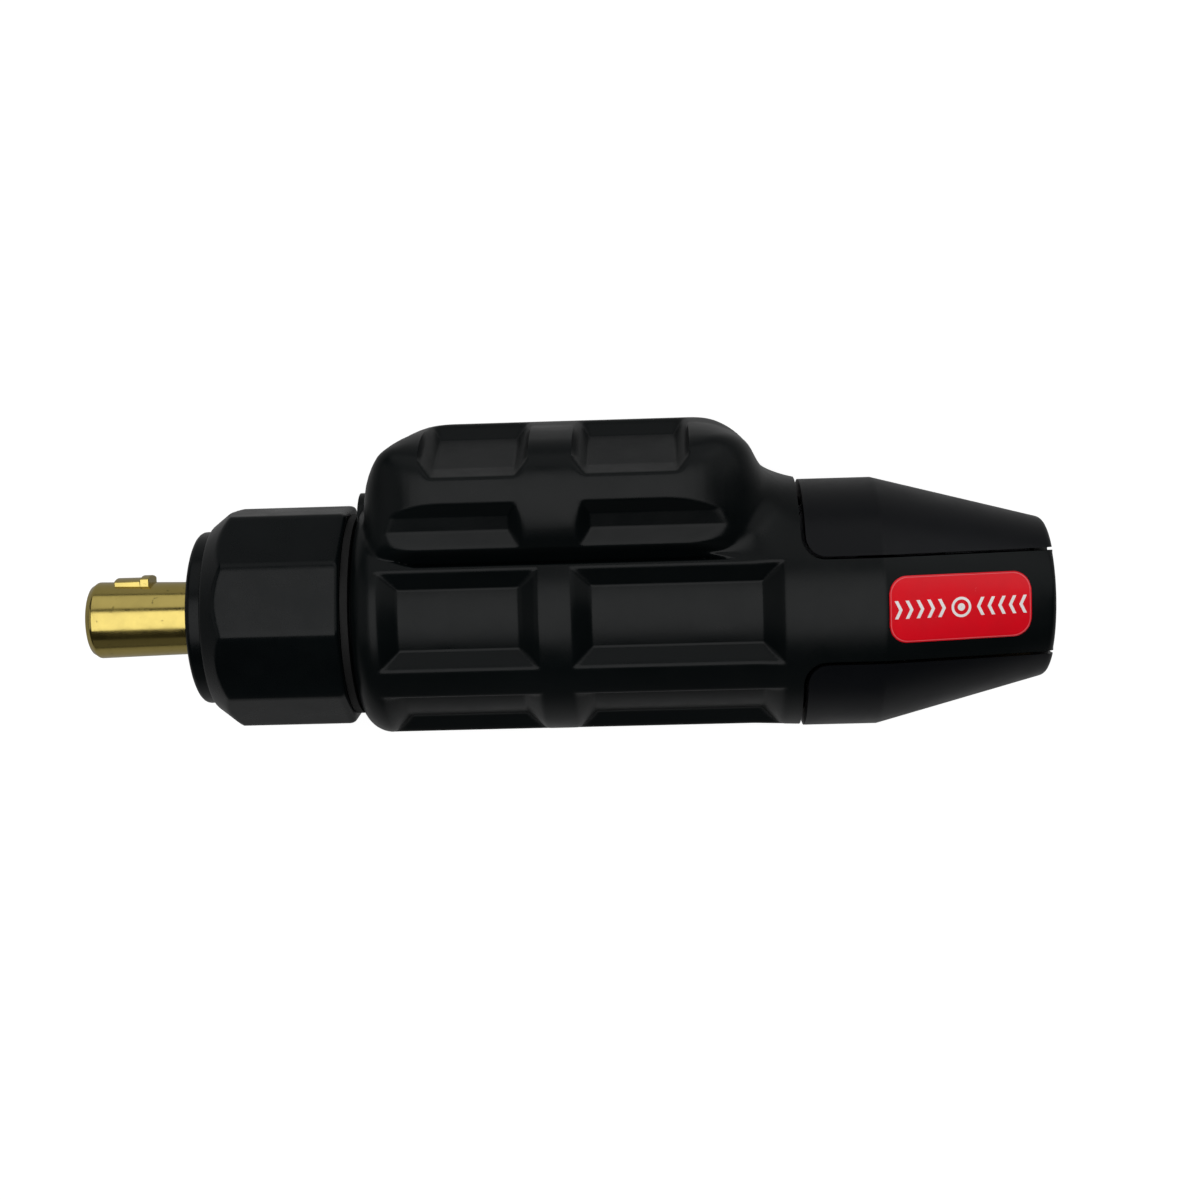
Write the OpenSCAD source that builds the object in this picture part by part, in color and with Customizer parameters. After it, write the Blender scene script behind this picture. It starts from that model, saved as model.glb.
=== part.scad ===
// Electrode holder with a bayonet plug, a sleeve nut and two pressing tongues.
// X runs from the plug to the nose along the barrel's axis, Y points to the hump, and Z to the right side.
// The origin is on the axis, at the rear face of the collar, where the plug begins.

/* [Plug] */
// Radius of the bayonet pin
plug_r = 6.5; // [6:0.1:7]
// Length of the pin behind the collar
plug_len = 20; // [18:1:22]
// Chamfer on the pin's end
plug_chamfer = 0.6; // [0.3:0.1:1]
// Radius of the shank that enters the handle
shank_r = 6; // [5.5:0.1:6.2]
// Height of the locking lug over the pin
lug_h = 1.2; // [1:0.1:1.6]
// Width of the locking lug
lug_w = 5.6; // [4:0.2:7]

/* [Collar and neck] */
// Radius of the rear collar
collar_r = 15.6; // [15:0.1:15.7]
// Length of the rear collar
collar_len = 9; // [8:0.5:9]
// Radius of the threaded neck
neck_r = 16; // [15.8:0.1:16.2]
// Radius of the hollow in the neck
neck_hollow_r = 10; // [9:0.5:10.5]

/* [Sleeve nut] */
// Number of flats on the nut
nut_sides = 10; // [8:1:12]
// Radius over the nut's corners
nut_corner_r = 20.2; // [19.8:0.1:20.6]
// Rear face of the nut
nut_rear_x = 2.7; // [2.5:0.1:3.2]
// Front face of the nut
nut_front_x = 27.8; // [26:0.1:27.8]
// Angle of the first corner from Z toward Y
nut_corner_angle = 31; // [0:1:36]

/* [Handle] */
// Rear face of the handle
body_rear_x = 29.5; // [29.3:0.1:30]
// Radius of the barrel
barrel_r = 21.8; // [21.5:0.1:22]
// Rounding of the barrel's rear edge
rear_round = 5; // [4:0.5:5]
// Front end of the shells, at the jaw insulators
shell_front_x = 108; // [107.8:0.1:108.2]
// Rear hollow of the barrel
hollow_r = 16.8; // [16.4:0.1:17]

/* [Hump] */
// Height of the hump over the axis
hump_top = 34.2; // [33.8:0.1:34.6]
// Rounding of the hump's rear end
hump_rear_r = 15.4; // [12:0.2:16]
// Where the hump's top begins to fall toward the nose
hump_front_x = 89.3; // [88:0.1:90]
// Rounding of the hump's front end
hump_front_r = 12.6; // [12:0.1:13]
// Hollow blend between hump and barrel
hump_blend_r = 9.5; // [9:0.1:10]
// Greatest half width of the hump
hump_half_w = 23.9; // [23.5:0.1:24.2]

/* [Nose] */
// Radius of the nose at its root
nose_r = 22.1; // [21.9:0.1:22.2]
// Where the taper begins
taper_x = 121.8; // [121.4:0.2:123]
// Half angle of the taper
taper_angle = 14.9; // [14:0.1:15]
// Front end of the nose
nose_end_x = 152.4; // [152:0.1:153]
// Wall of the nose's petals
nose_wall = 2.8; // [2.6:0.1:3]
// Half width of the tongues at the middle of the seams
seam_y = 9.1; // [9:0.1:9.2]
// Gap at the seams
seam_gap = 0.5; // [0.4:0.1:0.8]
// Where the tongues bend
tongue_root_x = 113; // [112.8:0.1:113.2]
// Radius of the electrode's mouth
mouth_r = 4; // [3.8:0.1:4.2]

/* [Label] */
// Length of the label
label_len = 25.2; // [24:0.2:26]
// Width of the label
label_w = 11.6; // [10:0.2:13]
// Corner radius of the label
label_corner_r = 3.2; // [2:0.1:4]
// Rear edge of the label
label_x = 122.4; // [122:0.1:123]
// Thickness of the label
label_t = 0.4; // [0.3:0.05:0.5]

/* [Grip pockets] */
// Radius of the pockets' floors in the barrel
pocket_floor_r = 19; // [18.8:0.1:19.4]
// Half angle of the pockets on the sides
side_pocket_angle = 22; // [20:0.5:23]
// Middle of the lower pockets, from Z away from the hump
low_pocket_angle = 61; // [60:0.5:62]
// Half angle of the lower pockets
low_pocket_half = 20; // [18:0.5:20]
// Rear pockets, from and to
rear_pocket_x = [36.2, 61.2];
// Front pockets, from and to
front_pocket_x = [69.6, 103.4];
// Rear end of the pockets on the hump's top
top_pocket_start_x = 44; // [43:0.5:45]
// Front end of the pockets on the hump's top
top_pocket_end_x = 88; // [86:0.5:88.5]

/* [Jaws] */
// Radius of the electrode that the jaws clamp
electrode_r = 1.6; // [1.25:0.05:2]
// Gap between the jaws at rest
jaw_gap = 0.8; // [0.6:0.1:1]
// Rear and front end of the contacts
contact_x = [134, 149.6];
// Half width of the contacts and the lever
lever_half_w = 4; // [3.8:0.1:4]
// Place of the jaw's pivot, X and Y
pivot = [111, 14];
// Radius of the pivot pin
pivot_r = 2; // [1.8:0.1:2.2]
// Half size of the conductor bar
bar_half = 7; // [6.5:0.1:7]

/* [Spring] */
// Place of the spring along the lever
spring_x = 66; // [65:0.5:67]
// Mean radius of the spring's coils
spring_r = 5; // [4.5:0.1:5.2]
// Radius of the spring's wire
wire_r = 0.8; // [0.7:0.05:0.9]
// Number of turns
spring_turns = 5; // [4:1:5]

/* [Fit] */
// Clearance of a turning or sliding fit, on the radius
running = 0.05; // [0.02:0.01:0.08]
// Radius of the shell screws
screw_r = 1.5; // [1.4:0.05:1.5]

/* [Hidden] */
$fn = 96;

black = "#1c1d1f";
brass = "#c9a646";
steel = "#9a9da1";
copper = "#b87348";
red = "#c3202b";
far = 60;

touch = 0.02;
plug_seat = 3;
nut_bore_r = neck_r + running;
hole_r = screw_r + running;
seam = [seam_y - seam_gap / 2, seam_y + seam_gap / 2];
rear_seam_gap = 0.8;
insulator_x = shell_front_x + rear_seam_gap;
seam_corner_r = 3.4;
insulator_proud = 0.2;

// Centre and radius of the arcs in the hump's outline and section
blend_y = barrel_r + hump_blend_r;
blend_x = hump_front_x + sqrt(pow(hump_front_r + hump_blend_r, 2) - pow(blend_y - hump_top + hump_front_r, 2));
blend_turn = atan2(blend_x - hump_front_x, blend_y - hump_top + hump_front_r);
side_r = 10;
side_y = 21.5;
side_z = hump_half_w - side_r;
dome_drop = hump_top - side_y;
dome_r = (side_z * side_z + dome_drop * dome_drop - side_r * side_r) / (2 * (dome_drop - side_r));
dome_turn = atan2(side_z, side_y - hump_top + dome_r);
flank_r = 17;
hump_rear_x = body_rear_x + 2.4;
hump_plan_rear_r = 17;
hump_plan_front_r = 21;
hump_plan_front_x = 84.8;
lug_x = [-16, -9.6];
lug_step_x = -11.2;
lug_step_h = 0.4;
flank_turn = 32.8;
groove = [9.4, 17.5];

// Inner faces of the nose
nose_hollow_r = nose_r - nose_wall;
front_wall_x = 150;
front_wall_half = 6;
tongue_tip_z = 10;
tongue_split = 0.3;

bar_rear_x = 31;
bar_front_x = 119;
boss_r = 9.5;
boss_end_x = 50;
web_x = [50.2, 98];
web_t = 2;
arm_y = [-10, -5.2];
arm_half_w = 5;

lever_tail_y = [24, 28.5];
lever_front_y = [5.3, 10.5];
lever_tail_x = [59, 73];
lever_boss_r = 3.4;
ear_z = [4.4, 6.9];
bracket_x = [103, bar_front_x - 0.2];
bracket_t = 2;
bracket_screw_x = [105.2, 116.6];

// The tongues' ribs lift the lever's wings: both faces rise by this slope as they near the wall
wedge_x = [134, 142];
wedge_slope = (wedge_x[0] + wedge_x[1] - 2 * pivot[0]) / (wedge_x[0] + wedge_x[1] - 2 * tongue_root_x);
wing_end_x = 139.4;
wing_z = 8.3;
wing_y = 5.5;
wedge_gap = 0.45;
rib_tip_z = 6.8;
rib_top_y = 8.2;

shell_screw_sites = [[52, -11.4, 12], [90, -11.4, 12], [46.5, 24.8, 17], [94.5, 26.5, 14]];
shell_boss_r = 3.2;
upper_screw_x = 120;
lower_screw_x = 128;
contact_screw_x = [137, 146.5];
spring_seat_t = 1.6;

function arc(x, y, r, from, to, n = 12) =
    [for (i = [0:n]) let (a = from + (to - from) * i / n) [x + r * cos(a), y + r * sin(a)]];

// Sweeps an outline in Y and Z along X
module along_x(from, to) {
    translate([from, 0, 0]) rotate([90, 0, 90]) linear_extrude(to - from) children();
}

// Turns an outline of X and radius about the axis
module about_x(outline) {
    rotate([0, 90, 0]) rotate_extrude($fn = 144) polygon([for (p = outline) [p[1], p[0]]]);
}

module rod_x(r, from, to) { translate([from, 0, 0]) rotate([0, 90, 0]) cylinder(r = r, h = to - from); }
module rod_y(x, r, from, to) { translate([x, from, 0]) rotate([-90, 0, 0]) cylinder(r = r, h = to - from); }
module rod_z(x, y, r, from, to) { translate([x, y, from]) cylinder(r = r, h = to - from); }
module block(from, to) { translate(from) cube(to - from); }
module plate(half) { translate([0, 0, -half]) linear_extrude(2 * half) children(); }

// ---- Plug end ----

module plug_pin() {
    color(brass) {
        about_x([[-plug_len, 0], [-plug_len, plug_r - plug_chamfer], [-plug_len + plug_chamfer, plug_r],
            [plug_seat, plug_r], [plug_seat, shank_r], [boss_end_x - 6, shank_r], [boss_end_x - 6, 0]]);
        intersection() {
            block([lug_x[0], plug_r - 1, -lug_w / 2], [lug_x[1], plug_r + lug_h + 1, lug_w / 2]);
            union() {
                rod_x(plug_r + lug_h, lug_x[0] - 1, 0);
                rod_x(plug_r + lug_h + lug_step_h, lug_step_x, 0);
            }
        }
    }
}

module rear_collar() {
    color(black) difference() {
        union() {
            rod_x(collar_r, 0, collar_len);
            rod_x(neck_hollow_r - 0.1, collar_len, collar_len + 5);
            rod_x(neck_hollow_r + 1.5, collar_len + 3, collar_len + 5);
        }
        rod_x(plug_r + touch, -1, plug_seat);
        rod_x(shank_r + touch, -1, far);
    }
}

module shank_seal() {
    color("#202020") difference() {
        rod_x(neck_hollow_r - 0.1, collar_len + 5.1, collar_len + 9);
        rod_x(shank_r + touch, 0, far);
    }
}

module sleeve_nut() {
    color(black) difference() {
        intersection() {
            translate([nut_rear_x, 0, 0]) rotate([-nut_corner_angle, 0, 0]) rotate([0, 90, 0]) rotate(180)
                cylinder(r = nut_corner_r, h = nut_front_x - nut_rear_x, $fn = nut_sides);
            about_x([[nut_rear_x, 0], [nut_rear_x, neck_r + 0.7], [nut_rear_x + 4.5, nut_corner_r],
                [nut_front_x - 0.6, nut_corner_r + 0.2], [nut_front_x, nut_corner_r - 0.6], [nut_front_x, 0]]);
        }
        rod_x(nut_bore_r, -1, far);
    }
}

module nut_slip_washer() {
    color("#101010") difference() {
        rod_x(neck_r + 2.2, nut_front_x + 0.1, body_rear_x - 0.3);
        rod_x(nut_bore_r, 0, far);
    }
}

// ---- Handle shells ----

module hump_side_outline() {
    polygon(concat(
        [[hump_rear_x, 0]],
        arc(hump_rear_x + hump_rear_r, hump_top - hump_rear_r, hump_rear_r, 180, 90),
        arc(hump_front_x, hump_top - hump_front_r, hump_front_r, 90, 90 - blend_turn),
        arc(blend_x, blend_y, hump_blend_r, 270 - blend_turn, 270),
        [[blend_x, 0]]
    ));
}

// Half of the hump's section, in Y and Z
module hump_section() {
    polygon(concat(
        [[0, 0], groove],
        [for (p = arc(hump_half_w - flank_r, side_y, flank_r, -flank_turn, 0, 6)) [p[1], p[0]]],
        [for (p = arc(side_z, side_y, side_r, 7, 90 - dome_turn)) [p[1], p[0]]],
        [for (p = arc(0, hump_top - dome_r, dome_r, 90 - dome_turn, 90, 6)) [p[1], p[0]]]
    ));
}

// The hump's outline from above narrows toward the nose
module hump_plan() {
    polygon(concat(
        [[body_rear_x, -1]],
        arc(body_rear_x + hump_plan_rear_r, hump_half_w - hump_plan_rear_r, hump_plan_rear_r, 180, 90),
        arc(hump_plan_front_x, hump_half_w - hump_plan_front_r, hump_plan_front_r, 90, 12),
        [[blend_x, -1]]
    ));
}

module hump() {
    intersection() {
        plate(hump_half_w) hump_side_outline();
        for (side = [0, 1]) mirror([0, 0, side]) along_x(body_rear_x, blend_x) hump_section();
        for (side = [0, 1]) mirror([0, 0, side])
            translate([0, far, 0]) rotate([90, 0, 0]) linear_extrude(far) hump_plan();
    }
}

module barrel() {
    about_x(concat(
        [[body_rear_x, 0]],
        arc(body_rear_x + rear_round, barrel_r - rear_round, rear_round, 180, 90, 8),
        [[100, barrel_r], [shell_front_x, nose_r], [tongue_root_x, nose_r], [tongue_root_x, 0]]
    ));
}

// The space of a jaw insulator, seen from the side, with round corners toward the tongues
module seam_outline(x, y) {
    translate([x + seam_corner_r, y]) square(far);
    translate([x, y + seam_corner_r]) square(far);
    translate([x + seam_corner_r, y + seam_corner_r]) circle(r = seam_corner_r);
}

// A recess round the barrel: its walls lean out from the floor's half angle to more than the mouth's
module round_pocket(x, middle, half) {
    floor_half = half - 6;
    mouth_half = half + 10;
    mouth_r = barrel_r + 4.2;
    along_x(x[0], x[1]) polygon(concat(
        [for (i = [-3:3]) let (a = middle + floor_half * i / 3) pocket_floor_r * [sin(a), cos(a)]],
        [for (s = [1, -1]) let (a = middle + s * mouth_half) mouth_r * [sin(a), cos(a)]]
    ));
}

module flank_pocket(x) {
    along_x(x[0], x[1])
        polygon([[12.3, 21.2], [15.35, 20.65], [18.1, 21.55], [20.85, 23.9], [22, 27], [12, 27]]);
}

module top_pocket(x) {
    along_x(x[0], x[1])
        polygon([[24.45, 23.5], [26.1, 18.3], [31, 7], [34, 4.4], [38, 2], [38, 27], [24, 27]]);
}

module grip_pockets() {
    for (side = [0, 1]) mirror([0, 0, side]) {
        for (x = [rear_pocket_x, front_pocket_x]) {
            round_pocket(x, 0, side_pocket_angle);
            round_pocket(x, -low_pocket_angle, low_pocket_half);
        }
        flank_pocket(rear_pocket_x);
        flank_pocket([front_pocket_x[0], top_pocket_end_x + 6]);
        top_pocket([top_pocket_start_x, rear_pocket_x[1]]);
        top_pocket([front_pocket_x[0], top_pocket_end_x]);
    }
}

module handle_hollow() {
    rod_x(hollow_r, bar_rear_x, 103.1);
    rod_x(nose_hollow_r, 103, tongue_root_x + 1);
    plate(12) polygon(concat([[37, 0], [37, 20]], arc(42, 20.5, 5, 180, 90, 6), [[89, 25.5], [96, 20], [96, 0]]));
    plate(5.2) polygon([[54, 0], [54, 29.6], [84, 29.6], [92, 24.4], [100, 22], [shell_front_x, 19.3], [shell_front_x, 0]]);
}

module web(x) {
    difference() {
        rod_x(hollow_r + 1, x, x + web_t);
        block([x - 1, -bar_half - 0.1, -bar_half - 0.1], [x + web_t + 1, bar_half + 0.1, bar_half + 0.1]);
        block([x - 1, 0, -5], [x + web_t + 1, far, 5]);
    }
}

// Bosses for the shell screws, kept under the floors of the grip pockets
module shell_bosses() {
    intersection() {
        for (s = shell_screw_sites) rod_z(s[0], s[1], shell_boss_r, -13, 13);
        union() {
            rod_x(pocket_floor_r - 0.5, body_rear_x, shell_front_x);
            block([body_rear_x, hollow_r, -13], [shell_front_x, hump_top - 2.6, 13]);
        }
    }
}

module screw_holes() {
    for (s = shell_screw_sites) {
        rod_z(s[0], s[1], hole_r, -s[2] - 1, 10);
        rod_z(s[0], s[1], 2.75, -far, -s[2]);
    }
}

module handle() {
    difference() {
        union() {
            difference() {
                union() { barrel(); hump(); }
                handle_hollow();
                grip_pockets();
            }
            rod_x(neck_r, collar_len + 0.1, bar_rear_x);
            web(web_x[0]);
            web(web_x[1]);
            shell_bosses();
        }
        rod_x(neck_hollow_r, 0, bar_rear_x - 2);
        rod_x(neck_hollow_r + 1.6, collar_len + 2.9, collar_len + 5.1);
        rod_x(shank_r + 0.2, 0, far);
        rod_x(boss_r + 0.1, bar_rear_x, web_x[0]);
        screw_holes();
        for (side = [0, 1]) mirror([0, side, 0]) plate(far) seam_outline(shell_front_x, seam[0]);
    }
}

module right_shell() { color(black) intersection() { handle(); block([0, -far, 0], [far * 3, far, far]); } }
module left_shell() { color("#232427") intersection() { handle(); block([0, -far, -far], [far * 3, far, 0]); } }

module shell_screws() {
    color(steel) for (s = shell_screw_sites) difference() {
        union() {
            rod_z(s[0], s[1], screw_r, -s[2], 9);
            rod_z(s[0], s[1], 2.7, -s[2] - 2, -s[2]);
        }
        rod_z(s[0], s[1], 1.2, -s[2] - 3, -s[2] - 0.9, $fn = 6);
    }
}

// ---- Nose ----

function nose_radius(x) = nose_r - max(0, x - taper_x) * tan(taper_angle);

module nose_solid(grow, from) {
    edge = 1;
    end_r = nose_radius(nose_end_x) + grow;
    about_x([[from, 0], [from, nose_r + grow], [taper_x, nose_r + grow],
        [nose_end_x - edge, nose_radius(nose_end_x - edge) + grow],
        [nose_end_x - edge * 0.3, end_r - edge * 0.2], [nose_end_x, end_r - edge], [nose_end_x, 0]]);
}

module nose_hollow(end) {
    about_x([[100, 0], [100, nose_hollow_r], [taper_x, nose_hollow_r],
        [end, nose_radius(end) - nose_wall], [end, 0]]);
}

function rib_line(z) = wing_y - wedge_gap + wedge_slope * (z - wing_z);

// Rib inside the tongue, with the sloping face that lifts the lever's wing
module tongue_rib() {
    along_x(wedge_x[0], wedge_x[1]) polygon([
        [-2, 15], [-2, rib_tip_z], [rib_line(rib_tip_z), rib_tip_z],
        [rib_top_y, wing_z + (rib_top_y - wing_y + wedge_gap) / wedge_slope], [rib_top_y, 13.5]
    ]);
}

module tongue() {
    difference() {
        nose_solid(0, tongue_root_x + tongue_split);
        nose_hollow(nose_end_x + 1);
        block([0, -far, -far], [far * 3, far, tongue_tip_z]);
        for (side = [0, 1]) mirror([0, side, 0]) plate(far) seam_outline(shell_front_x, seam[0]);
    }
    intersection() {
        tongue_rib();
        nose_solid(-1, tongue_root_x + 1);
    }
}

module right_press_tongue() { color("#26272b") tongue(); }
module left_press_tongue() { color("#26272b") mirror([0, 0, 1]) tongue(); }

module label() {
    corner = [label_len / 2 - label_corner_r, label_w / 2 - label_corner_r];
    difference() {
        intersection() {
            nose_solid(label_t, tongue_root_x + 1);
            translate([label_x + label_len / 2, 0, tongue_tip_z]) linear_extrude(far) union() {
                square([label_len, 2 * corner[1]], center = true);
                square([2 * corner[0], label_w], center = true);
                for (sx = [-1, 1], sy = [-1, 1]) translate([sx * corner[0], sy * corner[1]])
                    circle(r = label_corner_r);
            }
        }
        nose_solid(0, tongue_root_x);
    }
}

module right_label() { color(red) label(); }
module left_label() { color(red) mirror([0, 0, 1]) label(); }

// A jaw insulator on the +Y side: outer wall, front wall with half of the mouth, pad and screw boss
module insulator(pad, boss_x, boss_y) {
    difference() {
        union() {
            difference() {
                intersection() {
                    nose_solid(insulator_proud, insulator_x);
                    plate(far) seam_outline(insulator_x, seam[1]);
                }
                nose_hollow(front_wall_x);
            }
            intersection() {
                nose_solid(-0.4, insulator_x);
                union() {
                    block([front_wall_x, jaw_gap / 2, -front_wall_half], [far * 3, seam[1] + 1, front_wall_half]);
                    block([contact_x[0] + 3, pad[0], -pad[1]], [front_wall_x, far, pad[1]]);
                    rod_y(boss_x, 4.2, boss_y, far);
                }
            }
        }
        rod_x(mouth_r, front_wall_x - 1, far * 3);
        rod_y(boss_x, 1.3, 0, far);
        rod_y(boss_x, 2.6, boss_y + 2, far);
    }
}

function lever_top(x) = 17.3 - (x - pivot[0]) * 0.2;

module upper_jaw_insulator() {
    color("#2a2b2f") difference() {
        insulator([lever_front_y[1], lever_half_w], upper_screw_x, lever_top(upper_screw_x));
        plate(lever_half_w + 0.1) lever_outline();
    }
}
module lower_jaw_insulator() {
    color("#2a2b2f") mirror([0, 1, 0]) insulator([-arm_y[0], arm_half_w], lower_screw_x, -arm_y[0]);
}

module insulator_screw(x, seat_y, end_y) {
    color(steel) difference() {
        union() { rod_y(x, 1.25, end_y, seat_y); rod_y(x, 2.5, seat_y, seat_y + 1.5); }
        rod_y(x, 1, seat_y + 0.7, far, $fn = 6);
    }
}
module upper_insulator_screw() { insulator_screw(upper_screw_x, lever_top(upper_screw_x) + 2, 11.5); }
module lower_insulator_screw() { mirror([0, 1, 0]) insulator_screw(lower_screw_x, 2 - arm_y[0], 6); }

// ---- Conductor and lower jaw ----

module conductor_bar() {
    color(brass) difference() {
        union() {
            rod_x(boss_r, bar_rear_x, boss_end_x);
            block([boss_end_x - 1, -bar_half, -bar_half], [bar_front_x, bar_half, bar_half]);
            block([112, arm_y[0], -arm_half_w], [contact_x[1], arm_y[1], arm_half_w]);
        }
        rod_x(shank_r + touch, 0, boss_end_x - 6);
        for (x = [35.5, 41]) rod_y(x, 2, 0, far);
        for (x = bracket_screw_x) rod_y(x, 1.25, 2, far);
        for (x = contact_screw_x) rod_y(x, 1, -far, 0);
        rod_y(lower_screw_x, 1.25, -far, 0);
    }
}

module plug_set_screws() {
    color(steel) for (x = [35.5, 41]) difference() {
        rod_y(x, 2, shank_r, boss_r - 0.4);
        rod_y(x, 1, shank_r + 1.6, far, $fn = 6);
    }
}

module pivot_bracket() {
    color(steel) difference() {
        union() {
            block([bracket_x[0], bar_half, -ear_z[1]], [bracket_x[1], bar_half + bracket_t, ear_z[1]]);
            for (side = [0, 1]) mirror([0, 0, side]) {
                rod_z(pivot[0], pivot[1], 3.2, ear_z[0], ear_z[1]);
                block([pivot[0] - 3.2, bar_half + 1, ear_z[0]], [pivot[0] + 3.2, pivot[1], ear_z[1]]);
            }
        }
        rod_z(pivot[0], pivot[1], pivot_r, -far, far);
        for (x = bracket_screw_x) {
            rod_y(x, 1.3, 0, far);
            rod_y(x, 2.2, bar_half + 0.8, far);
        }
    }
}

module bracket_screws() {
    color(steel) for (x = bracket_screw_x) difference() {
        union() { rod_y(x, 1.25, 3, bar_half + 1); rod_y(x, 2.15, bar_half + 0.8, bar_half + bracket_t); }
        rod_y(x, 0.8, bar_half + 1.2, far, $fn = 6);
    }
}

module jaw_pivot_pin() { color(steel) rod_z(pivot[0], pivot[1], pivot_r, -8.2, 8.2); }

module pivot_clips() {
    color("#6d7075") for (side = [0, 1]) mirror([0, 0, side]) difference() {
        rod_z(pivot[0], pivot[1], 3, ear_z[1] + 0.1, ear_z[1] + 0.8);
        rod_z(pivot[0], pivot[1], pivot_r, 0, far);
        block([pivot[0] - 4, pivot[1] - 4, 0], [pivot[0] - 1.2, pivot[1] + 4, far]);
    }
}

// A contact on the +Y side of the jaw gap, with half of the electrode's seat in it
module contact(top) {
    difference() {
        block([contact_x[0], jaw_gap / 2, -lever_half_w], [contact_x[1], top, lever_half_w]);
        rod_x(electrode_r, 0, far * 3);
        for (x = contact_screw_x) rod_y(x, 1, jaw_gap / 2 + 2.2, far);
    }
}

module upper_jaw_contact() { color(copper) contact(lever_front_y[0]); }
module lower_jaw_contact() { color(copper) mirror([0, 1, 0]) contact(-arm_y[1]); }

module contact_screws_at(far_y, near_y) {
    color(steel) for (x = contact_screw_x) {
        rod_y(x, 1, near_y, far_y);
    }
}
module upper_contact_screws() { contact_screws_at(lever_front_y[1] - 0.3, jaw_gap / 2 + 2.3); }
module lower_contact_screws() { mirror([0, 1, 0]) contact_screws_at(-arm_y[0] - 0.3, jaw_gap / 2 + 2.3); }

// ---- Upper jaw ----

module lever_outline() {
    polygon([
        [lever_tail_x[0], lever_tail_y[0]], [lever_tail_x[0], lever_tail_y[1]], [lever_tail_x[1], lever_tail_y[1]],
        [106, 18], [pivot[0], lever_top(pivot[0])], [124, lever_top(124)], [136, lever_front_y[1]],
        [contact_x[1], lever_front_y[1]], [contact_x[1], lever_front_y[0]], [contact_x[0], lever_front_y[0]],
        [122, 9.6], [pivot[0], pivot[1] - lever_boss_r], [106, 11.5], [lever_tail_x[1] + 1, lever_tail_y[0]]
    ]);
}

// Wing on the lever's side, with the sloping underside that the tongue's rib lifts
module lever_wing() {
    along_x(wedge_x[0], wing_end_x) polygon([
        [lever_front_y[0] + 3.5, lever_half_w - 1], [lever_front_y[0] + 3.5, wing_z], [wing_y, wing_z],
        [wing_y + wedge_slope * (lever_half_w - wing_z), lever_half_w], [lever_front_y[0], lever_half_w],
        [lever_front_y[0], lever_half_w - 1]
    ]);
}

module upper_jaw_lever() {
    color(steel) difference() {
        union() {
            plate(lever_half_w) lever_outline();
            for (side = [0, 1]) mirror([0, 0, side]) lever_wing();
        }
        rod_z(pivot[0], pivot[1], pivot_r + running, -far, far);
        rod_y(upper_screw_x, 1.25, 0, far);
        for (x = contact_screw_x) rod_y(x, 1, 0, far);
    }
}

// ---- Spring ----

spring_low = bar_half + spring_seat_t + wire_r;
spring_high = lever_tail_y[0] - spring_seat_t - wire_r;

function coil_point(t, a) =
    let (turn = 360 * spring_turns * t, out = spring_r + wire_r * cos(a))
    [out * cos(turn), spring_low + (spring_high - spring_low) * t + wire_r * sin(a), out * sin(turn)];

module clamp_spring() {
    sides = 8;
    rings = spring_turns * 16;
    points = [for (i = [0:rings], j = [0:sides - 1]) coil_point(i / rings, j * 360 / sides)];
    walls = [for (i = [0:rings - 1], j = [0:sides - 1]) let (k = (j + 1) % sides)
        [i * sides + j, i * sides + k, (i + 1) * sides + k, (i + 1) * sides + j]];
    ends = [[for (j = [0:sides - 1]) sides - 1 - j], [for (j = [0:sides - 1]) rings * sides + j]];
    color("#8a8d92") translate([spring_x, 0, 0]) polyhedron(points, concat(walls, ends), convexity = 10);
}

module cup(y) {
    rod_y(spring_x, spring_r + 1.8, y, y + spring_seat_t);
    rod_y(spring_x, spring_r - wire_r - 0.5, y, y + spring_seat_t + 2.2);
}

module spring_seat() { color("#3a3a3c") cup(bar_half); }
module spring_cap() {
    color("#3a3a3c") translate([0, lever_tail_y[0], 0]) mirror([0, 1, 0]) cup(0);
}

plug_pin();
rear_collar();
shank_seal();
sleeve_nut();
nut_slip_washer();
right_shell();
left_shell();
shell_screws();
right_press_tongue();
left_press_tongue();
right_label();
left_label();
upper_jaw_insulator();
lower_jaw_insulator();
upper_insulator_screw();
lower_insulator_screw();
conductor_bar();
plug_set_screws();
pivot_bracket();
bracket_screws();
jaw_pivot_pin();
pivot_clips();
upper_jaw_lever();
upper_jaw_contact();
upper_contact_screws();
lower_jaw_contact();
lower_contact_screws();
clamp_spring();
spring_seat();
spring_cap();
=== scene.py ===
import math

import bmesh
import bpy
import numpy as np
from mathutils import Matrix, Vector


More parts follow.
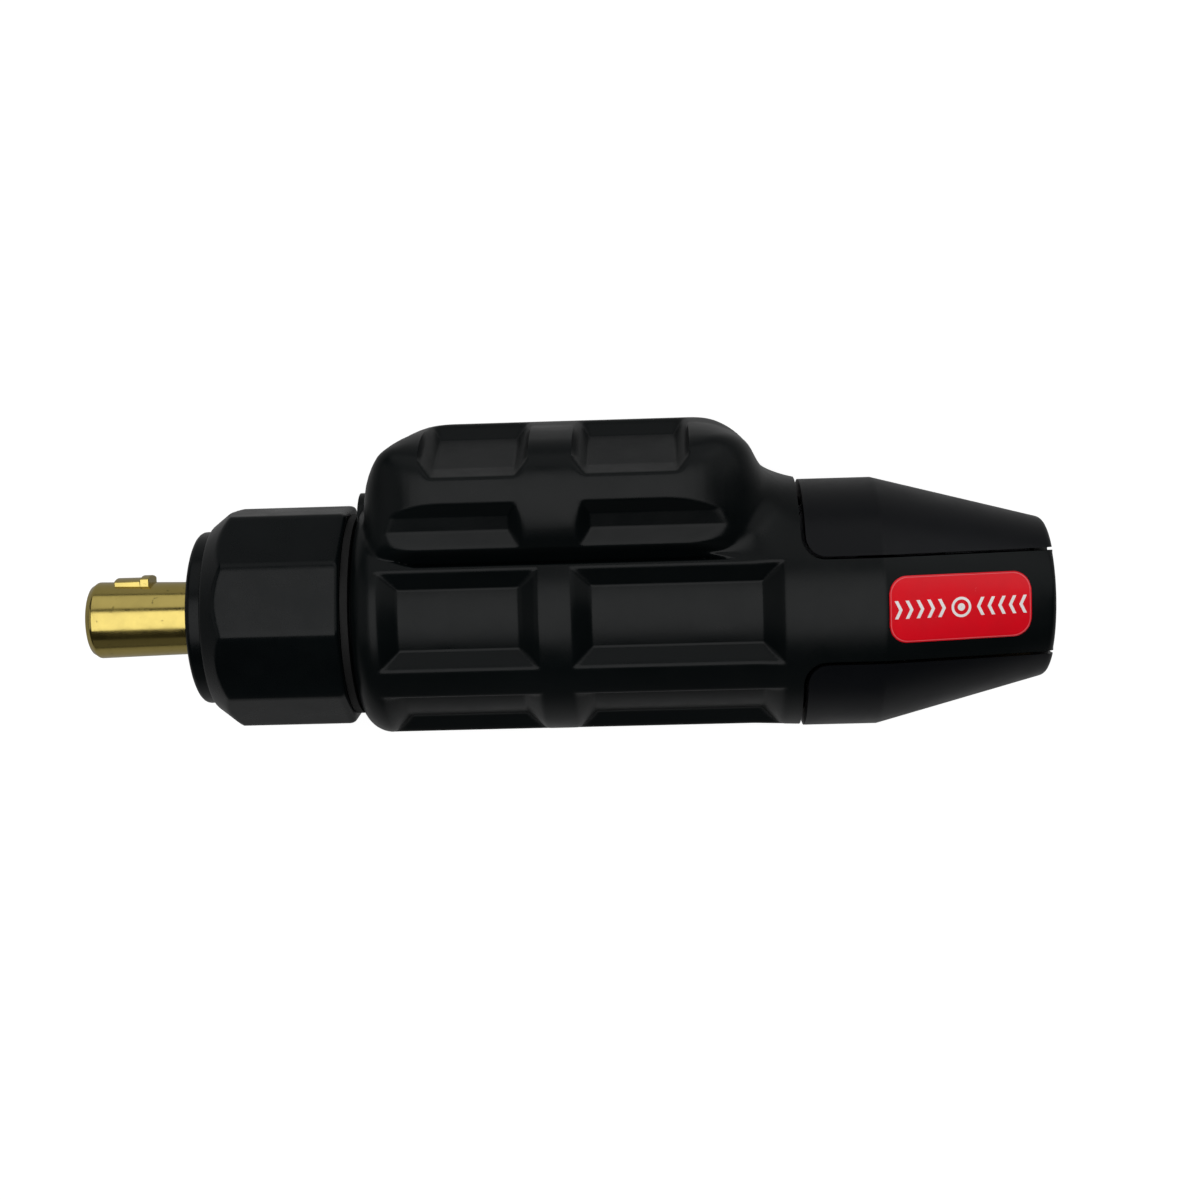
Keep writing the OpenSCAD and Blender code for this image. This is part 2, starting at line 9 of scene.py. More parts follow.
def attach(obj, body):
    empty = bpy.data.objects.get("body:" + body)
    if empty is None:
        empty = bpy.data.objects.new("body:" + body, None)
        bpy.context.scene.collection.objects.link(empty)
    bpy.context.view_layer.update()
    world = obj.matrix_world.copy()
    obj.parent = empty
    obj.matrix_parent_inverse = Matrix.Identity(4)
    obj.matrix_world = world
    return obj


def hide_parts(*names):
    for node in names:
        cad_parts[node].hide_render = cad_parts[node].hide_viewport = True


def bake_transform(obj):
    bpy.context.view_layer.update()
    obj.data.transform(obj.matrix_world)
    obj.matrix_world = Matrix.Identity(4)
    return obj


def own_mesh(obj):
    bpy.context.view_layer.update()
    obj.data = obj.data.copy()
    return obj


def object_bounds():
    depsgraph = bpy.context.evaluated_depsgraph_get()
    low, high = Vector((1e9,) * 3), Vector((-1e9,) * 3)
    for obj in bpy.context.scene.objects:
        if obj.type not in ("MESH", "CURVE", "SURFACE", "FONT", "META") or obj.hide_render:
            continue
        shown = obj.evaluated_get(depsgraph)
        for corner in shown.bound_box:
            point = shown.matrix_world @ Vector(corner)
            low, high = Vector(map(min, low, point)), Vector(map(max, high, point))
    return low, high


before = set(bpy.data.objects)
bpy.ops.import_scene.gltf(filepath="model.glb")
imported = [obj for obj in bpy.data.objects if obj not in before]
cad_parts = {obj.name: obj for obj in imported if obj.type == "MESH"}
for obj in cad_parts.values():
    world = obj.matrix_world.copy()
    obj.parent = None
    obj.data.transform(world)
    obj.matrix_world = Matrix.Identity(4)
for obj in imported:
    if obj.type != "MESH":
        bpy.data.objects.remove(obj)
cad_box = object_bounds()

# Driving sizes in millimetres, as in part.scad. X runs to the nose, Y to the hump, Z to the right side.
MM = 0.001
BARREL_R = 21.8
BODY_REAR_X = 29.5
REAR_ROUND = 5.0
SHELL_FRONT_X = 108.0
NOSE_R = 22.1
TAPER_X = 121.8
TAPER = math.radians(14.9)
NOSE_END_X = 152.4
HUMP_TOP = 34.2
HUMP_HALF_W = 23.9
SEAM_Y = 9.1
SEAM_GAP = 0.5
REAR_SEAM_GAP = 0.8
SEAM_CORNER_R = 3.4
SHELL_T = 2.4
NOSE_WALL = 2.8
TONGUE_WALL = SHELL_T + 0.4
TONGUE_INNER_Z = 10.0
TONGUE_EDGE, PETAL_EDGE = 1.2, 1.0
PROUD = 0.2
JAW_GAP = 0.8
MOUTH_R = 4.0
FRONT_WALL_X = 150.0
FRONT_WALL_HALF = 6.0
COLLAR_R, COLLAR_LEN = 15.6, 9.0
NUT_X = (2.7, 27.8)
NUT_SIDES = 10
NUT_CORNER_R = 20.2
NUT_FIRST_CORNER = 31.0
NUT_REAR_R = 16.7
NUT_CONE = 3.5 / 4.5
NUT_BORE_R = 16.05
NUT_REAR_EDGE, NUT_FRONT_EDGE, NUT_CORNER_DROP = 0.4, 1.2, 0.10
PLUG_R, PLUG_LEN = 6.5, 20.0
NECK_R, NECK_HOLLOW_R = 16.0, 13.0
THREAD_PITCH, THREAD_DEPTH, THREAD_END_X = 2.0, 0.75, 25.5
SCREW_WELL_R = 2.75
# Each screw's X, Y and depth of its well's floor from the middle plane.
SCREW_SITES = [(52, -11.4, 11.9), (90, -11.4, 11.9), (46.5, 24.8, 16.9), (94.5, 26.5, 13.9)]
LUG_R, LUG_W = 7.7, 5.6
LABEL_X, LABEL_LEN, LABEL_W, LABEL_CORNER_R, LABEL_T = 122.4, 25.2, 11.6, 3.2, 0.4


# ---------------------------------------------------------------- small helpers

def smoothstep(x, low, high):
    t = np.clip((x - low) / (high - low), 0, 1)
    return t * t * (3 - 2 * t)


def smooth_max(a, b, k):
    """The greater of two fields, with the edge between them rounded over about k."""
    h = np.clip(0.5 + 0.5 * (a - b) / k, 0, 1)
    return b + (a - b) * h + k * h * (1 - h)


def smooth_min(a, b, k):
    return -smooth_max(-a, -b, k)


def rounding_drop(radius, past):
    """How far a surface has dropped on a rounding, at a distance past the rounding's start."""
    return radius - math.sqrt(max(0.0, radius ** 2 - max(0.0, past) ** 2))


def arc(x, y, r, start, end, n=16):
    angles = np.radians(np.linspace(start, end, n + 1))
    return [(x + r * math.cos(a), y + r * math.sin(a)) for a in angles]


def outline_field(outline, u, v):
    """Signed distance from points (u, v) to a closed outline, negative inside."""
    best = np.full(u.shape, 1e9)
    inside = np.zeros(u.shape, bool)
    for (ax, ay), (bx, by) in zip(outline, outline[1:] + outline[:1]):
        ex, ey = bx - ax, by - ay
        length = ex * ex + ey * ey
        if length < 1e-12:
            continue
        t = np.clip(((u - ax) * ex + (v - ay) * ey) / length, 0, 1)
        best = np.minimum(best, (u - ax - t * ex) ** 2 + (v - ay - t * ey) ** 2)
        if ay != by:
            inside ^= ((ay > v) != (by > v)) & (u < ax + ex * (v - ay) / (by - ay))
    return np.where(inside, -1, 1) * np.sqrt(best)


def plane_field(u, v, start, end):
    """Signed distance to the line from start to end, negative on its right-hand side."""
    du, dv = end[0] - start[0], end[1] - start[1]
    return ((v - start[1]) * du - (u - start[0]) * dv) / math.hypot(du, dv)


def mesh_object(name, vertices, faces, material, smooth_angle=40):
    mesh = bpy.data.meshes.new(name)
    mesh.from_pydata([tuple(v) for v in vertices], [], faces)
    mesh.update()
    work = bmesh.new()
    work.from_mesh(mesh)
    bmesh.ops.remove_doubles(work, verts=work.verts, dist=2e-6)
    bmesh.ops.recalc_face_normals(work, faces=work.faces)
    work.to_mesh(mesh)
    work.free()
    obj = bpy.data.objects.new(name, mesh)
    bpy.context.scene.collection.objects.link(obj)
    mesh.materials.append(material)
    smooth_by_angle(obj, smooth_angle)
    return obj


def smooth_by_angle(obj, angle):
    """Smooth faces, with sharp edges where the surface turns by more than the angle."""
    work = bmesh.new()
    work.from_mesh(obj.data)
    for face in work.faces:
        face.smooth = True
    for edge in work.edges:
        edge.smooth = len(edge.link_faces) == 2 and edge.calc_face_angle(0) < math.radians(angle)
    work.to_mesh(obj.data)
    work.free()


def add_bevel(obj, width, segments=2, angle=35):
    bevel = obj.modifiers.new("edges", "BEVEL")
    bevel.width = width * MM
    bevel.segments = segments
    bevel.limit_method = "ANGLE"
    bevel.angle_limit = math.radians(angle)
    bevel.harden_normals = False
    return bevel


def grid_faces(rows, columns, keep=None):
    """Quads over a grid of points, row by row. keep says which cells have a face."""
    faces = []
    for i in range(rows - 1):
        for j in range(columns - 1):
            if keep is None or keep[i, j]:
                a = i * columns + j
                faces.append((a, a + 1, a + columns + 1, a + columns))
    return faces


def closed_wall(outer, inner, faces):
    """A closed solid between an open surface and its inner copy, point for point."""
    count = len(outer)
    edges = {}
    for face in faces:
        for a, b in zip(face, face[1:] + face[:1]):
            if (b, a) in edges:
                del edges[(b, a)]
            else:
                edges[(a, b)] = True
    solid = list(faces) + [tuple(count + i for i in reversed(face)) for face in faces]
    solid += [(b, a, a + count, b + count) for a, b in edges]
    return np.vstack([outer, inner]), solid


def clustered(nodes, step, crowd=0.45):
    """Values from the first node to the last, a step apart or less, and closer together at the nodes."""
    values = [nodes[0]]
    for low, high in zip(nodes, nodes[1:]):
        n = max(3, int(math.ceil((high - low) / step)))
        t = np.linspace(0, 1, n + 1)[1:]
        t = (1 - crowd) * t + crowd * (0.5 - 0.5 * np.cos(np.pi * t))
        values += list(low + (high - low) * t)
    return np.array(values)


# ---------------------------------------------------------------- materials

class Nodes:
    """A short way to write a node material: node types by name, and links by socket."""

    def __init__(self, name):
        self.material = bpy.data.materials.new(name)
        self.material.use_nodes = True
        self.tree = self.material.node_tree
        self.shader = self.tree.nodes["Principled BSDF"]
        self.coords = self.add("ShaderNodeTexCoord").outputs["Object"]

    def add(self, kind, inputs=None, **settings):
        node = self.tree.nodes.new(kind)
        for key, value in settings.items():
            setattr(node, key, value)
        for key, value in (inputs or {}).items():
            self.put(node.inputs[key], value)
        return node

    def put(self, socket, value):
        if isinstance(value, bpy.types.NodeSocket):
            self.tree.links.new(value, socket)
        elif hasattr(socket.default_value, "__len__") and len(value) == 3 and len(socket.default_value) == 4:
            socket.default_value = (*value, 1)
        else:
            socket.default_value = value

    def set(self, **values):
        for key, value in values.items():
            self.put(self.shader.inputs[key.replace("_", " ")], value)

    def mapped(self, scale, rotation=(0, 0, 0)):
        inputs = {"Vector": self.coords, "Scale": scale, "Rotation": rotation}
        return self.add("ShaderNodeMapping", inputs).outputs[0]

    def noise(self, scale, detail=3, roughness=0.5, coords=None):
        return self.add("ShaderNodeTexNoise", {
            "Vector": coords or self.coords, "Scale": scale, "Detail": detail, "Roughness": roughness,
        }).outputs["Fac"]

    def between(self, factor, low, high, new_low, new_high):
        return self.add("ShaderNodeMapRange", {
            "Value": factor, "From Min": low, "From Max": high, "To Min": new_low, "To Max": new_high,
        }).outputs[0]

    def mix(self, factor, a, b):
        node = self.add("ShaderNodeMix", data_type="RGBA")
        self.put(node.inputs[0], factor)
        self.put(node.inputs[6], a)
        self.put(node.inputs[7], b)
        return node.outputs[2]

    def math(self, operation, a, b=0.0):
        node = self.add("ShaderNodeMath", operation=operation)
        self.put(node.inputs[0], a)
        self.put(node.inputs[1], b)
        return node.outputs[0]

    def bump(self, height, distance, strength=1.0, normal=None):
        inputs = {"Height": height, "Distance": distance * MM, "Strength": strength}
        if normal is not None:
            inputs["Normal"] = normal
        return self.add("ShaderNodeBump", inputs).outputs[0]


def moulded_plastic(name, colour, roughness, grain=0.010, dust=0.35, gloss=0.155):
    """Satin black plastic: fine spark-eroded grain, faint flow marks, rubbed spots and specks of dust."""
    n = Nodes(name)
    fine = n.noise(5200, 2)
    flow = n.noise(38, 4, 0.6, n.mapped((0.35, 1, 1)))
    rub = n.noise(160, 3, 0.6)
    speck = n.add("ShaderNodeTexVoronoi", {"Vector": n.coords, "Scale": 130.0}).outputs["Distance"]
    speck = n.between(speck, 0.018, 0.030, 1.0, 0.0)
    rare = n.between(n.noise(60, 1), 0.60, 0.66, 0.0, dust)
    speck = n.math("MULTIPLY", speck, rare)
    lighter = tuple(1.7 * c for c in colour)
    base = n.mix(n.between(flow, 0.3, 0.7, 0.0, 1.0), colour, lighter)
    base = n.mix(speck, base, (0.42, 0.42, 0.40))
    rough = n.between(rub, 0.25, 0.75, roughness - 0.05, roughness + 0.06)
    rough = n.math("ADD", rough, n.between(flow, 0.3, 0.7, -0.02, 0.03))
    n.set(Base_Color=base, Roughness=rough, Normal=n.bump(fine, grain, 0.6))
    n.shader.inputs["Specular IOR Level"].default_value = gloss
    return n.material


def turned_brass(name, colour, dark):
    """Machined brass: fine turning rings round X, handling smudges and small tarnish spots."""
    n = Nodes(name)
    rings = n.noise(1.0, 3, 0.7, n.mapped((5200, 6, 6)))
    smudge = n.noise(190, 4, 0.65)
    spots = n.between(n.noise(700, 3, 0.7), 0.66, 0.74, 0.0, 0.75)
    base = n.mix(n.between(smudge, 0.35, 0.75, 0.0, 0.55), colour, tuple(0.82 * c for c in colour))
    base = n.mix(spots, base, dark)
    rough = n.math("ADD", n.between(smudge, 0.3, 0.7, 0.13, 0.24), n.between(rings, 0.3, 0.7, -0.02, 0.03))
    height = n.math("ADD", rings, n.math("MULTIPLY", smudge, 0.6))
    n.set(Base_Color=base, Metallic=1.0, Roughness=rough, Normal=n.bump(height, 0.006, 0.8))
    return n.material


def plated_metal(name, colour, roughness, grain_scale=(900, 60, 900)):
    """Plated or drawn metal: a grain along the piece, clouded plating and a little wear."""
    n = Nodes(name)
    grain = n.noise(1.0, 3, 0.6, n.mapped(grain_scale))
    cloud = n.noise(120, 3, 0.6)
    base = n.mix(n.between(cloud, 0.3, 0.7, 0.0, 1.0), colour, tuple(0.72 * c for c in colour))
    rough = n.math("ADD", n.between(cloud, 0.3, 0.7, roughness - 0.06, roughness + 0.08),
                   n.between(grain, 0.3, 0.7, -0.03, 0.05))
    n.set(Base_Color=base, Metallic=1.0, Roughness=rough, Normal=n.bump(grain, 0.005, 0.7))
    return n.material


def printed_film(name, colour, roughness=0.24):
    """Glossy printed film: slight unevenness of the ink and fine scratches."""
    n = Nodes(name)
    ink = n.noise(300, 3)
    base = n.mix(n.between(ink, 0.3, 0.7, 0.0, 1.0), colour, tuple(0.93 * c for c in colour))
    rough = n.between(ink, 0.2, 0.8, roughness - 0.04, roughness + 0.05)
    n.set(Base_Color=base, Roughness=rough, Normal=n.bump(ink, 0.006, 0.5))
    n.shader.inputs["Specular IOR Level"].default_value = 0.3
    return n.material


def soft_rubber(name):
    n = Nodes(name)
    fine = n.noise(1800, 3)
    base = n.mix(n.noise(90, 3), (0.012, 0.012, 0.013), (0.030, 0.030, 0.031))
    n.set(Base_Color=base, Roughness=n.between(fine, 0.2, 0.8, 0.62, 0.80), Normal=n.bump(fine, 0.02))
    return n.material


SHELL_BLACK = moulded_plastic("shell_black", (0.0011, 0.0019, 0.0021), 0.31)
NOSE_BLACK = moulded_plastic("nose_black", (0.0014, 0.0018, 0.0026), 0.33, 0.012, 0.2)
NUT_BLACK = moulded_plastic("nut_black", (0.0011, 0.0019, 0.0022), 0.27, 0.006, 0.15)
DARK_NYLON = moulded_plastic("dark_nylon", (0.006, 0.006, 0.006), 0.6)
BRASS = turned_brass("turned_brass", (0.53, 0.42, 0.125), (0.12, 0.10, 0.03))
STEEL = plated_metal("plated_steel", (0.56, 0.56, 0.57), 0.32)
COPPER = plated_metal("oxidised_copper", (0.20, 0.10, 0.06), 0.42)
BLACK_STEEL = plated_metal("blackened_steel", (0.045, 0.046, 0.050), 0.42)
AGED_BRASS = plated_metal("aged_brass", (0.10, 0.075, 0.035), 0.45)
RUBBER = soft_rubber("seal_rubber")
LABEL_RED = printed_film("label_red", (0.76, 0.004, 0.014))
PRINT_WHITE = printed_film("print_white", (0.92, 0.88, 0.88))
PRINT_PINK = printed_film("print_border", (0.82, 0.10, 0.12))

CAD_MATERIALS = {
    STEEL: ["shell_screws", "plug_set_screws", "upper_insulator_screw", "lower_insulator_screw",
            "clamp_spring"],
    BLACK_STEEL: ["pivot_bracket", "bracket_screws", "jaw_pivot_pin", "pivot_clips", "upper_jaw_lever",
                  "upper_contact_screws", "lower_contact_screws"],
    AGED_BRASS: ["conductor_bar"],
    COPPER: ["upper_jaw_contact", "lower_jaw_contact"],
    RUBBER: ["shank_seal"],
    DARK_NYLON: ["spring_seat", "spring_cap", "nut_slip_washer"],
}
for material, names in CAD_MATERIALS.items():
    for name in names:
        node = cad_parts[name]
        node.data.materials.clear()
        node.data.materials.append(material)


# ---------------------------------------------------------------- the handle's outer surface

def nose_radius(x):
    return NOSE_R - np.maximum(0, x - TAPER_X) * math.tan(TAPER)


def barrel_field(x, r):
    radius = BARREL_R + (NOSE_R - BARREL_R) * np.clip((x - 100) / 8, 0, 1)
    qx = BODY_REAR_X + REAR_ROUND - x
    qr = r - (radius - REAR_ROUND)
    outside = np.hypot(np.maximum(qx, 0), np.maximum(qr, 0))
    return outside + np.minimum(np.maximum(qx, qr), 0) - REAR_ROUND


HUMP_REAR_X = BODY_REAR_X + 2.4
REAR_R = 15.4
PLAN_REAR_R, PLAN_FRONT_X, PLAN_FRONT_R = 17, 84.8, 21
TROUGH_DEPTH = 2.4
FRONT_X, FRONT_R, BLEND_R = 89.3, 12.6, 9.5
BLEND_Y = BARREL_R + BLEND_R
BLEND_X = FRONT_X + math.sqrt((FRONT_R + BLEND_R) ** 2 - (BLEND_Y - HUMP_TOP + FRONT_R) ** 2)
BLEND_TURN = math.degrees(math.atan2(BLEND_X - FRONT_X, BLEND_Y - HUMP_TOP + FRONT_R))
SIDE_R, SIDE_Y, FLANK_R = 10.0, 21.5, 17.0
SIDE_Z = HUMP_HALF_W - SIDE_R
DOME_DROP = HUMP_TOP - SIDE_Y
DOME_R = (SIDE_Z ** 2 + DOME_DROP ** 2 - SIDE_R ** 2) / (2 * (DOME_DROP - SIDE_R))
DOME_TURN = math.degrees(math.atan2(SIDE_Z, SIDE_Y - HUMP_TOP + DOME_R))
GROOVE_ROOT = (9.4, 17.5)
FLANK_FOOT = (12.3, 21.2)

HUMP_SIDE = (
    [(HUMP_REAR_X, -10.0)]
    + arc(HUMP_REAR_X + REAR_R, HUMP_TOP - REAR_R, REAR_R, 180, 90)
    + arc(FRONT_X, HUMP_TOP - FRONT_R, FRONT_R, 90, 90 - BLEND_TURN)
    + arc(BLEND_X, BLEND_Y, BLEND_R, 270 - BLEND_TURN, 270)
    + [(BLEND_X, -10.0)]
)
HUMP_SECTION = (
    [(-12.0, 0.0), GROOVE_ROOT, FLANK_FOOT]
    + [(v, u) for u, v in arc(HUMP_HALF_W - FLANK_R, SIDE_Y, FLANK_R, -32.8, 0, 8)]
    + [(v, u) for u, v in arc(SIDE_Z, SIDE_Y, SIDE_R, 7, 90 - DOME_TURN)]
    + [(v, u) for u, v in arc(0, HUMP_TOP - DOME_R, DOME_R, 90 - DOME_TURN, 90, 8)]
    + [(HUMP_TOP, -10.0), (-12.0, -10.0)]
)
HUMP_PLAN = (
    [(BODY_REAR_X, -12.0)]
    + arc(BODY_REAR_X + PLAN_REAR_R, HUMP_HALF_W - PLAN_REAR_R, PLAN_REAR_R, 180, 90)
    + arc(PLAN_FRONT_X, HUMP_HALF_W - PLAN_FRONT_R, PLAN_FRONT_R, 90, 12)
    + [(BLEND_X, -12.0)]
)


def hump_field(x, y, z):
    side = outline_field(HUMP_SIDE, x, y)
    section = outline_field(HUMP_SECTION, y, z)
    plan = outline_field(HUMP_PLAN, x, z)
    front = smoothstep(x, 84, 100)
    field = smooth_max(side, section, 0.8 + (1.6 + 2.0 * front) * smoothstep(np.abs(z), 3, 9))
    return smooth_max(field, plan, 2.4 + 2.2 * front)


def groove_field(x, y, z):
    """Inside is the V groove under the hump's flank. It runs out toward both ends."""
    ledge = GROOVE_ROOT[0] + 0.28 * np.maximum(0, 41.4 - x) - y
    shallower = 0.42 * np.maximum(0, x - 91)
    wall = plane_field(y, z - shallower, FLANK_FOOT, GROOVE_ROOT)
    return np.maximum(ledge, wall)


def side_pocket(x, y, z, ends, angle, mouth, floor, floor_r=19.0, slope=3.4):
    """A recess with four sloping walls in the barrel, about a direction measured from Z toward Y."""
    c, s = math.cos(math.radians(angle)), math.sin(math.radians(angle))
    across, out = y * c - z * s, z * c + y * s
    r = np.hypot(y, z)
    m, f = math.radians(mouth), math.radians(floor)
    wall = plane_field(np.abs(across), out, (BARREL_R * math.sin(m), BARREL_R * math.cos(m)),
                       (floor_r * math.sin(f), floor_r * math.cos(f)))
    field = np.maximum(floor_r - r, wall)
    for x_mouth, sign in ((ends[0], 1), (ends[1], -1)):
        field = np.maximum(field, end_wall(sign * (x - x_mouth), r, slope, floor_r))
    return np.where(out > 0, field, 50.0)


def end_wall(inward, r, slope, floor_r):
    """Negative inside a recess whose end wall runs inward by slope from its mouth down to its floor."""
    depth = BARREL_R - floor_r
    return (depth * (-inward) + slope * (BARREL_R - r)) / math.hypot(depth, slope)


def trough(x, y, z, outline, ends, lean):
    """A recess in the hump: its section is an outline in Y and Z, and its end walls lean outward by lean."""
    section = outline_field(outline, y, z)
    (low, high), (lean_low, lean_high) = ends, lean
    height = outline_height(outline, y, z)
    a = (low + lean_low * (1 - height) - x)
    b = (x - high + lean_high * (1 - height))
    return np.maximum(np.maximum(section, a * 0.65), b * 0.65)


def outline_height(outline, y, z):
    """How far a point is from a recess's floor, 0, to its mouth, 1."""
    (y0, z0), (y1, z1) = outline[1], outline[2]
    length = math.hypot(y1 - y0, z1 - z0)
    out = ((z - z0) * (y1 - y0) - (y - y0) * (z1 - z0)) / length
    return np.clip(out / TROUGH_DEPTH, 0, 1)


# Sections of the hump's recesses in Y and Z. The second and third points are the floor's ends.
FLANK_TROUGH = [(12.3, 21.2), (15.35, 20.65), (18.1, 21.55), (20.85, 23.88), (24.3, 27), (24, 40), (11.8, 40),
                (11.9, 24)]
TOP_TROUGH = [(24.45, 23.45), (26.1, 18.3), (31.0, 7.0), (34.0, 4.4), (38, 0.9), (45, 10), (40, 40),
              (22.6, 29.5)]

REAR_ENDS = (34.7, 62.5)
FRONT_ENDS = (68.3, 104.6)
LOW_ANGLE = -61.0


def handle_field(x, y, z):
    """Signed distance to the handle's outer surface on the right side, in millimetres."""
    r = np.hypot(y, z)
    barrel = barrel_field(x, r)
    barrel = smooth_max(barrel, -groove_field(x, y, z), 0.25)
    hump = hump_field(x, y, z)
    body = smooth_min(barrel, hump, 0.25 + 5.0 * smoothstep(x, 93, 105))
    edge = 0.35
    for ends in (REAR_ENDS, FRONT_ENDS):
        body = smooth_max(body, -side_pocket(x, y, z, ends, 0.0, 23.2, 16.2), edge)
        body = smooth_max(body, -side_pocket(x, y, z, ends, LOW_ANGLE, 22.4, 14.8), edge)
    for low, high in ((30.0, 61.2), (68.8, 106.0)):
        body = smooth_max(body, -trough(x, y, z, FLANK_TROUGH, (low, high), (3.2, 3.2)), edge)
    for low, high in ((43.2, 61.4), (69.6, 89.1)):
        body = smooth_max(body, -trough(x, y, z, TOP_TROUGH, (low, high), (2.2, 2.4)), edge)
    return body


# Rays that find the surface: the height of each ray's start on the hump's middle plane, and its angle
# from Z toward Y. They are placed so that every crease of the handle lies along one of them.
RAYS = [
    (0, -90), (0, -88.8), (0, LOW_ANGLE - 22.4), (0, LOW_ANGLE - 14.8), (0, LOW_ANGLE + 14.8),
    (0, LOW_ANGLE + 22.4), (0, -23.2), (0, -16.2), (0, 16.2), (0, 23.2), (0, 25.54), (2.5, 21.52),
    (7.0, 14.0), (10.2, 14.0), (12.73, 14.0), (14.9, 14.0), (16.0, 19.8), (16.0, 28.9), (16.0, 65.0),
    (16.0, 76.3), (16.0, 88.6), (16.0, 90),
]
# About how far apart each pair of rays meets the surface.
RAY_GAPS = [0.3, 3.0, 3.0, 11.6, 3.0, 6.0, 2.9, 10.8, 2.9, 1.0, 2.3, 4.6, 3.1, 2.9, 3.6, 3.6, 5.4, 12.3, 4.0,
            4.5, 0.3]
PARTING_DEPTH = 0.4


def spaced_rays(step):
    starts, angles = [RAYS[0][0]], [RAYS[0][1]]
    for (b0, a0), (b1, a1), gap in zip(RAYS, RAYS[1:], RAY_GAPS):
        share = clustered([0, 1], min(0.25, step / gap))[1:]
        starts += list(b0 + (b1 - b0) * share)
        angles += list(a0 + (a1 - a0) * share)
    return np.array(starts), np.radians(angles)


def cast(x, start, angle, field, low=6.0, high=46.0):
    """Where each ray leaves the solid, by halving."""
    low = np.full(x.shape, low)
    high = np.full(x.shape, high)
    for _ in range(17):
        middle = (low + high) / 2
        inside = field(x, start + middle * np.sin(angle), middle * np.cos(angle)) < 0
        low = np.where(inside, middle, low)
        high = np.where(inside, high, middle)
    return (low + high) / 2


def seam_edge(x, x_edge, y_edge, corner):
    """Half width, at X, of what lies between two jaw insulators' windows with round corners."""
    t = np.clip(x - x_edge, 0, corner)
    return y_edge + corner - np.sqrt(np.maximum(0, corner ** 2 - (corner - t) ** 2))


def half_shell(name, side, material, step=0.5):
    """One handle shell and its pressing tongue as one moulding, from the rear face to the nose's end."""
    starts, angles = spaced_rays(step)
    near_rear = BODY_REAR_X + np.array(
        [0.015, 0.05, 0.12, 0.24, 0.42, 0.66, 0.96, 1.32, 1.75, 2.25, 2.8, 3.4, 4.0, 4.6])
    creases = [34.7, 38.0, 41.4, 43.2, 45.4, 58.6, 62.5, 68.3, 71.8, 86.8, 89.2, 95.0, 101.3, 104.6,
               SHELL_FRONT_X]
    xs = np.concatenate([near_rear, clustered(creases, step)])
    grid_x, grid_b = np.meshgrid(xs, starts, indexing="ij")
    grid_a = np.broadcast_to(angles, grid_x.shape)
    reach = cast(grid_x, grid_b, grid_a, handle_field)
    for edge in (0, -1):
        reach[:, edge] -= PARTING_DEPTH
    rear = 0.62 * reach[0]
    reach = np.vstack([rear, reach])
    grid_x = np.vstack([np.full(len(starts), BODY_REAR_X), grid_x])
    grid_b = np.vstack([grid_b[0], grid_b])
    grid_a = np.vstack([grid_a[0], grid_a])

    def points(distance, x):
        return np.stack([x, grid_b + distance * np.sin(grid_a), distance * np.cos(grid_a)], -1)

    outer = points(reach, grid_x)
    inner_x = np.maximum(grid_x, BODY_REAR_X + 2.0)
    inner = points(np.maximum(reach - SHELL_T, 5.0), inner_x)
    rows, columns = outer.shape[:2]

    # The tongue goes on from the last ring, between the windows of the two insulators.
    last = outer[-1]
    corner = SEAM_CORNER_R + 0.6
    y_edge = SEAM_Y - SEAM_GAP / 2
    wide = y_edge + corner
    chosen = np.where(np.abs(last[:, 1]) <= wide + 0.3)[0]
    first, final = chosen[0], chosen[-1]
    corner_steps = SHELL_FRONT_X + corner * (1 - np.cos(np.linspace(0, np.pi / 2, 9)[1:]))
    tongue_x = np.concatenate([corner_steps, clustered(
        [SHELL_FRONT_X + corner, TAPER_X, NOSE_END_X - TONGUE_EDGE], 0.8)[1:],
        NOSE_END_X - TONGUE_EDGE + np.array([0.35, 0.7, 0.95, 1.1, 1.18])])
    base = last[first:final + 1, 1].copy()
    share = np.where(base < 0, base / -base[0], base / base[-1])
    ring_outer, ring_inner = [], []
    for x in tongue_x:
        half = seam_edge(x, SHELL_FRONT_X, y_edge, corner)
        y = share * half
        radius = nose_radius(x) - rounding_drop(TONGUE_EDGE, x - (NOSE_END_X - TONGUE_EDGE))
        ring_outer.append(np.stack([np.full(len(y), x), y, np.sqrt(radius ** 2 - y ** 2)], -1))
        inside = nose_radius(x) - TONGUE_WALL
        z = np.sqrt(np.maximum(inside ** 2 - y ** 2, 1.0))
        ring_inner.append(np.stack([np.full(len(y), x), y, np.maximum(z, TONGUE_INNER_Z)], -1))
    outer_all = np.vstack([outer.reshape(-1, 3)] + ring_outer)
    inner_all = np.vstack([inner.reshape(-1, 3)] + ring_inner)
    faces = grid_faces(rows, columns)
    width = final - first + 1
    for i in range(len(tongue_x)):
        here = rows * columns + i * width
        for j in range(width - 1):
            if i == 0:
                a = (rows - 1) * columns + first + j
            else:
                a = here - width + j
            faces.append((a, a + 1, here + j + 1, here + j))
    vertices, solid = closed_wall(outer_all, inner_all, faces)
    vertices = vertices * MM
    vertices[:, 2] = np.maximum(vertices[:, 2], 0)
    vertices[:, 2] *= side
    return mesh_object(name, vertices, solid, material, 50)


